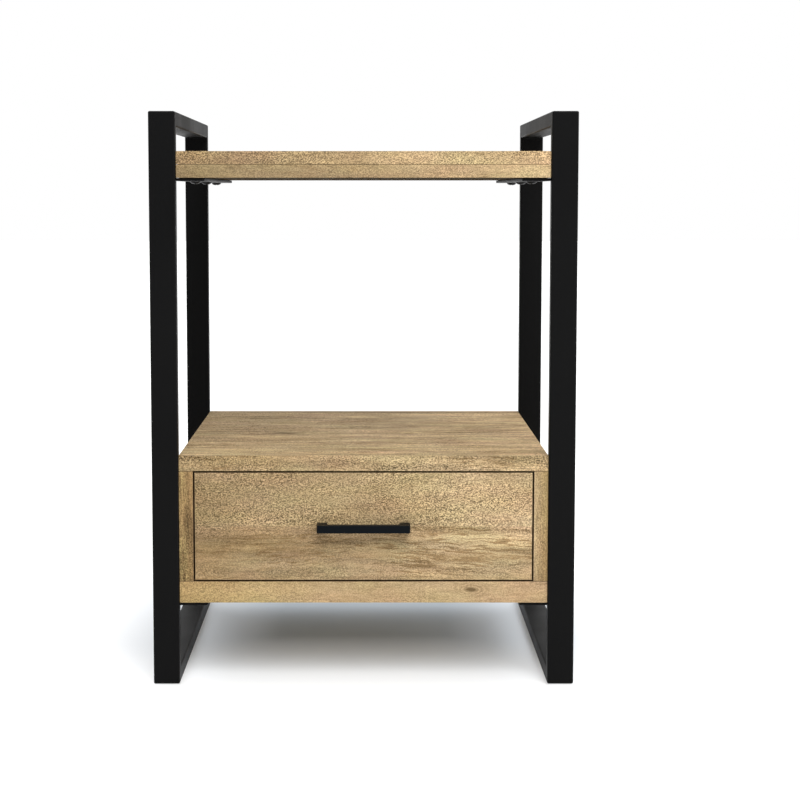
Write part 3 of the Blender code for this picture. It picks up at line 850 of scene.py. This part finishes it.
class SIDE_TABLE_OT_cabinet(Piece):
    """Joins the cabinet's top, sides and bottom, and its plywood back"""

    bl_idname = "side_table.cabinet"
    bl_label = "Cabinet"

    def build(self):
        palette = colours()
        mid, pale, red = palette.wood_mid, palette.wood_pale, palette.wood_red
        gold, light = palette.wood_gold, palette.wood_light
        low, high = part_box("cabinet_top")
        fleck = (Vector((-0.092, low.y + 0.203, high.z)), Vector((0.024, 0.009, 0.01)))
        low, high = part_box("cabinet_bottom")
        pin_knot = (Vector((0.115, low.y, low.z + 0.0142)), Vector((0.0078, 0.012, 0.0031)))
        # Grain, seed, stave width, tones, figure, speckle, knots and the face beside the drawer front that
        # gets painted shade
        plans = (
            # The top's and bottom's tones grow lighter to the right: partly the wood's own tone, partly
            # painted light
            ("cabinet_top", LYING, 2.63, 0.058, (mid, pale, light), 1.5, 0.9, (fleck,), (2, "low")),
            ("cabinet_bottom", LYING, 5.12, 0.3, (gold, pale, pale), 0.35, 0.45, (pin_knot,), (2, "high")),
            ("cabinet_left_side", UPRIGHT, 8.4, 0.09, (gold, red), 2.2, 0.7, (), (0, "high")),
            ("cabinet_right_side", UPRIGHT, 1.9, 0.09, (pale, gold), 0.5, 0.6, (), (0, "low")),
        )
        for node, turn, seed, stave, tones, figure, speckle, knots, inner in plans:
            board, low, high = eased_block(f"{node}_board", node, sizes().wood_edge)
            finish = wood_finish(
                f"{node} wood", low, high, turn, seed, stave, tones, figure, speckle, knots=knots,
                shade_painted=(inner,), shade_colour=palette.gap_shade, reach=sizes().gap_shade_depth,
                # The cabinet top's top face gets painted light
                painted_top_light=node == "cabinet_top",
            )
            present(board, "frame", "solid_wood", finish, node)
        board, low, high = eased_block("cabinet_back_panel", "cabinet_back", sizes().sheet_edge, 2)
        finish = thin_wood_finish("back plywood", low, high, LYING, 3.3, layers=5)
        present(board, "frame", "plywood", finish, "cabinet_back")


class SIDE_TABLE_OT_drawer_front(Piece):
    """Makes the inset drawer front from two staves"""

    bl_idname = "side_table.drawer_front"
    bl_label = "Drawer Front"

    def build(self):
        palette = colours()
        low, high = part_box("drawer_front")
        front = block("drawer_face", low, high)
        cut_groove(front)
        ease(front, sizes().wood_edge)
        # Darker on the left and lighter on the right: partly the wood's own tone, partly painted light
        tones = (palette.wood_brown, palette.wood_mid, palette.wood_pale)
        stave = (high.z - low.z) / 2
        seed = 7 - (low.z / stave) % 1  # puts a stave's edge on the front's lower rim
        # Painted shade on the front's four rims, in the gap round the drawer
        rims = ((0, "low"), (0, "high"), (2, "low"), (2, "high"))
        finish = wood_finish(
            "drawer front wood", low, high, STANDING, seed, stave, tones, (1.3, 0.3), (0.5, 1.0),
            shade_painted=rims, shade_colour=palette.gap_shade, reach=sizes().gap_shade_depth,
        )
        present(front, "drawer", "solid_wood", finish, "drawer_front")


def cut_groove(board):
    """Cuts the groove that holds the drawer's bottom panel."""
    low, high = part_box("drawer_bottom")
    play = Vector((0.0003, 0.0003, 0.0003))
    cut_away(board, block("groove", low - play, high + play))


class SIDE_TABLE_OT_drawer_box(Piece):
    """Makes the drawer's sides, back and bottom"""

    bl_idname = "side_table.drawer_box"
    bl_label = "Drawer Box"

    def build(self):
        plans = (("left_side", FRONT_TO_BACK, 1.2), ("right_side", FRONT_TO_BACK, 2.4), ("back", LYING, 3.6))
        for part, turn, seed in plans:
            node = f"drawer_{part}"
            low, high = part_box(node)
            board = block(f"box_{part}", low, high)
            axis = 1 if turn == FRONT_TO_BACK else 0
            upper_edges = edge_along(axis, lambda middle: middle.z > high.z - NEAR)
            work_on(board, "EDGE", upper_edges, bevel_picked(sizes().box_edge, 4))
            cut_groove(board)
            ease(board, sizes().sheet_edge, 2)
            finish = thin_wood_finish(f"box {part} wood", low, high, turn, seed, layers=9)
            present(board, "drawer", "plywood", finish, node)
        panel, low, high = eased_block("box_bottom", "drawer_bottom", sizes().sheet_edge, 2)
        finish = thin_wood_finish("box bottom wood", low, high, LYING, 4.8, layers=3)
        present(panel, "drawer", "plywood", finish, "drawer_bottom")


class SIDE_TABLE_OT_pull(Piece):
    """Makes the square bar pull and its two posts"""

    bl_idname = "side_table.pull"
    bl_label = "Pull"

    def build(self):
        low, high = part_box("handle_bar")
        bar = block("pull_bar", low, high)
        front_ends = edge_along(2, lambda middle: middle.y < low.y + NEAR)
        work_on(bar, "EDGE", front_ends, bevel_picked(sizes().pull_chamfer, 2))
        ease(bar, sizes().pull_edge)
        whole = around("handle_bar", "handle_left_post", "handle_right_post")
        paint = painted_finish("pull paint", colours().pull, *whole, **PULL_PAINT)
        present(bar, "drawer", "black_handle", paint, "handle_bar")
        for side, _ in SIDES:
            node = f"handle_{side}_post"
            post = eased_block(f"pull_post_{side}", node, sizes().pull_edge)[0]
            present(post, "drawer", "black_handle", paint, node)


class SIDE_TABLE_OT_slides(Piece):
    """Folds the three nested channels of each ball-bearing slide"""

    bl_idname = "side_table.slides"
    bl_label = "Drawer Slides"

    def build(self):
        zinc = plated_finish("slide zinc", colours().zinc, 0.3)
        # Body, which way the web looks and whether the flanges turn in
        plans = (
            ("cabinet", "frame", 1, True),
            ("middle", "slide_middle", 1, True),
            ("drawer", "drawer", -1, False),
        )
        for side, sign in SIDES:
            for part, body, web_outwards, lipped in plans:
                node = f"{side}_slide_{part}_channel"
                channel = self.channel(f"slide_{side}_{part}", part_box(node), sign * web_outwards, lipped)
                present(channel, body, "zinc_plate", zinc, node)

    def channel(self, name, box, web_side, lipped):
        """A folded channel along Y, its web on the side of X that web_side says, open on the other."""
        size = sizes()
        half = size.channel_sheet / 2
        low, high = box[0].copy(), box[1].copy()
        low.z, high.z = low.z + half, high.z - half
        web, free = (high, low) if web_side > 0 else (low, high)
        web.x -= web_side * half
        if lipped:
            free.x += web_side * half
        channel = block(name, low, high)
        work_on(
            channel, "FACE",
            lambda face: abs(face.normal.y) > ALIGNED or face.normal.x * web_side < -ALIGNED,
            lambda: bpy.ops.mesh.delete(type="FACE"),
        )
        if lipped:
            for top in (1, -1):
                level = high.z if top > 0 else low.z
                rim = edge_along(1, lambda middle: abs(middle.x - free.x) < half,
                                 lambda middle: abs(middle.z - level) < half)
                work_on(channel, "EDGE", rim, lambda: pull_out((0, 0, -top * (size.channel_lip + half))))
        folds = edge_along(1, lambda middle: abs(middle.x - web.x) < half)
        work_on(channel, "EDGE", folds, bevel_picked(size.channel_bend, 3))
        work_on(channel, "FACE", lambda face: True,
                lambda: bpy.ops.mesh.normals_make_consistent(inside=False))
        apply_modifier(channel, "SOLIDIFY", thickness=size.channel_sheet, offset=0, use_even_offset=True)
        middle = (low + high) / 2
        for along in (-0.22, 0, 0.22):
            place = Vector((web.x, middle.y + (high.y - low.y) * along, middle.z))
            cut_away(channel, rod("hole", place, (1, 0, 0), size.channel_hole, 4 * size.channel_sheet))
        even_shading(channel)
        return channel


class SIDE_TABLE_OT_glides(Piece):
    """Gives the moulded glides under the foot rails their plastic"""

    bl_idname = "side_table.glides"
    bl_label = "Glides"

    def build(self):
        for side, _ in SIDES:
            for end in ("front", "back"):
                node = f"{side}_{end}_glide"
                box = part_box(node)
                plastic = painted_finish(f"plastic {node}", colours().plastic, *box, **MOULDED_PLASTIC)
                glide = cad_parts[node]
                glide.data.materials.clear()
                glide.data.materials.append(plastic)


class SIDE_TABLE_OT_stage(Piece):
    """Sets up the pale floor, the soft lights and the camera"""

    bl_idname = "side_table.stage"
    bl_label = "Stage"

    def build(self):
        scene = bpy.context.scene
        stage = scene.side_table_stage
        scene.view_settings.view_transform = "Standard"
        self.floor(stage)
        self.room(stage)
        self.broad_light("key light", Vector((0.12, -0.70, 0.70)), stage.key, spread=35)
        self.broad_light("back light", Vector((0, 0.64, 0.77)), stage.back, spread=50)
        self.broad_light("top light", UP, stage.top, spread=100)
        self.panel_light("side light", Vector((1.9, -1.6, 0.9)), stage.side, width=1.5)
        bpy.ops.object.camera_add(rotation=(math.radians(90) - stage.pitch, 0, 0))
        camera = bpy.context.object
        front = around(*frame_nodes("left"))[0].y
        camera.location = (stage.aside, front - stage.distance, stage.height)
        camera.data.lens = stage.lens
        camera.data.shift_x = stage.shift
        scene.camera = camera

    def floor(self, stage):
        """A pale, faintly clouded floor that is darker in a soft square below the table."""
        bpy.ops.object.select_all(action="DESELECT")
        bpy.ops.mesh.primitive_plane_add(size=40)
        floor = settle(bpy.context.object, "studio floor")
        material, net, shader, where = opened("studio floor")
        cloud = net.stretched(where, (1.5, 1.5, 1.5), 3)
        centred = net.vector("SUBTRACT", where, (0, stage.shade_back, 0))
        beyond = net.vector("SUBTRACT", net.vector("ABSOLUTE", centred), (stage.shade, stage.shade, 1))
        distance = net.vector("LENGTH", net.vector("MAXIMUM", beyond), out="Value")
        outside = net.between(distance, 0, stage.rim)
        glow = net.between(outside, 0, 1, stage.glow_inside, stage.glow)
        plain = net.mix(outside, opaque(stage.shaded), opaque(stage.floor))
        clouded = net.mix(net.times(cloud, 0.04), plain, opaque(stage.shaded))
        wire(net, shader, Base_Color=clouded, Roughness=0.9, Specular_IOR_Level=0.0)
        wire(net, shader, Emission_Strength=glow, Emission_Color=opaque(WHITE))
        floor.data.materials.append(material)

    def room(self, stage):
        """A white room that is brighter behind the table than in front of it, and plain white to look at."""
        world = bpy.context.scene.world or bpy.data.worlds.new("studio")
        bpy.context.scene.world = world
        world.use_nodes = True
        net = Net(world.node_tree)
        towards_back = net.split(net.add("TexCoord", {}, "Generated"))["Y"]
        glow = net.between(towards_back, -0.5, 0.5, stage.room, stage.backdrop)
        seen = net.add("LightPath", {}, "Is Camera Ray")
        strength = net.add("Mix", {"Factor": seen, 2: glow, 3: 1.0}, 0)
        background = world.node_tree.nodes["Background"]
        wire(net, background, Color=opaque(WHITE), Strength=strength)

    def broad_light(self, name, towards, strength, spread):
        """A soft light that is equally strong everywhere, so the floor stays white to its far edge."""
        bpy.ops.object.light_add(type="SUN", location=towards * 3, rotation=turn_to(towards))
        light = bpy.context.object
        light.name = name
        light.data.energy = strength
        light.data.angle = math.radians(spread)

    def panel_light(self, name, place, power, width):
        """A square light that shines at the table's middle."""
        target = (CAD_LOW + CAD_HIGH) / 2
        bpy.ops.object.light_add(type="AREA", location=place, rotation=turn_to(place - target))
        light = bpy.context.object
        light.name = name
        light.data.size = width
        light.data.energy = power


STEPS = (
    SIDE_TABLE_OT_side_frames,
    SIDE_TABLE_OT_support_bars,
    SIDE_TABLE_OT_screws,
    SIDE_TABLE_OT_tabletop,
    SIDE_TABLE_OT_cabinet,
    SIDE_TABLE_OT_drawer_front,
    SIDE_TABLE_OT_drawer_box,
    SIDE_TABLE_OT_pull,
    SIDE_TABLE_OT_slides,
    SIDE_TABLE_OT_glides,
    SIDE_TABLE_OT_stage,
)


class SIDE_TABLE_PT_pieces(bpy.types.Panel):
    """Lists the table's pieces and the values behind them"""

    bl_idname = "SIDE_TABLE_PT_pieces"
    bl_label = "Side Table"
    bl_space_type = "VIEW_3D"
    bl_region_type = "UI"
    bl_category = "Side Table"

    def draw(self, context):
        column = self.layout.column(align=True)
        for step in STEPS:
            column.operator(step.bl_idname)
        for place, kind in GROUPS_OF_VALUES:
            box = self.layout.box()
            for name in kind.__annotations__:
                box.prop(getattr(context.scene, place), name)


GROUPS_OF_VALUES = (
    ("side_table_sizes", SideTableSizes),
    ("side_table_colours", SideTableColours),
    ("side_table_stage", SideTableStage),
)


def register():
    for name, values in GROUPS_OF_VALUES:
        bpy.utils.register_class(values)
        setattr(bpy.types.Scene, name, PointerProperty(type=values))
    for step in STEPS:
        bpy.utils.register_class(step)
    bpy.utils.register_class(SIDE_TABLE_PT_pieces)


def unregister():
    bpy.utils.unregister_class(SIDE_TABLE_PT_pieces)
    for step in reversed(STEPS):
        bpy.utils.unregister_class(step)
    for name, values in reversed(GROUPS_OF_VALUES):
        delattr(bpy.types.Scene, name)
        bpy.utils.unregister_class(values)


def main():
    register()
    for step in STEPS:
        family, name = step.bl_idname.split(".")
        getattr(getattr(bpy.ops, family), name)()


if __name__ == "__main__":
    main()
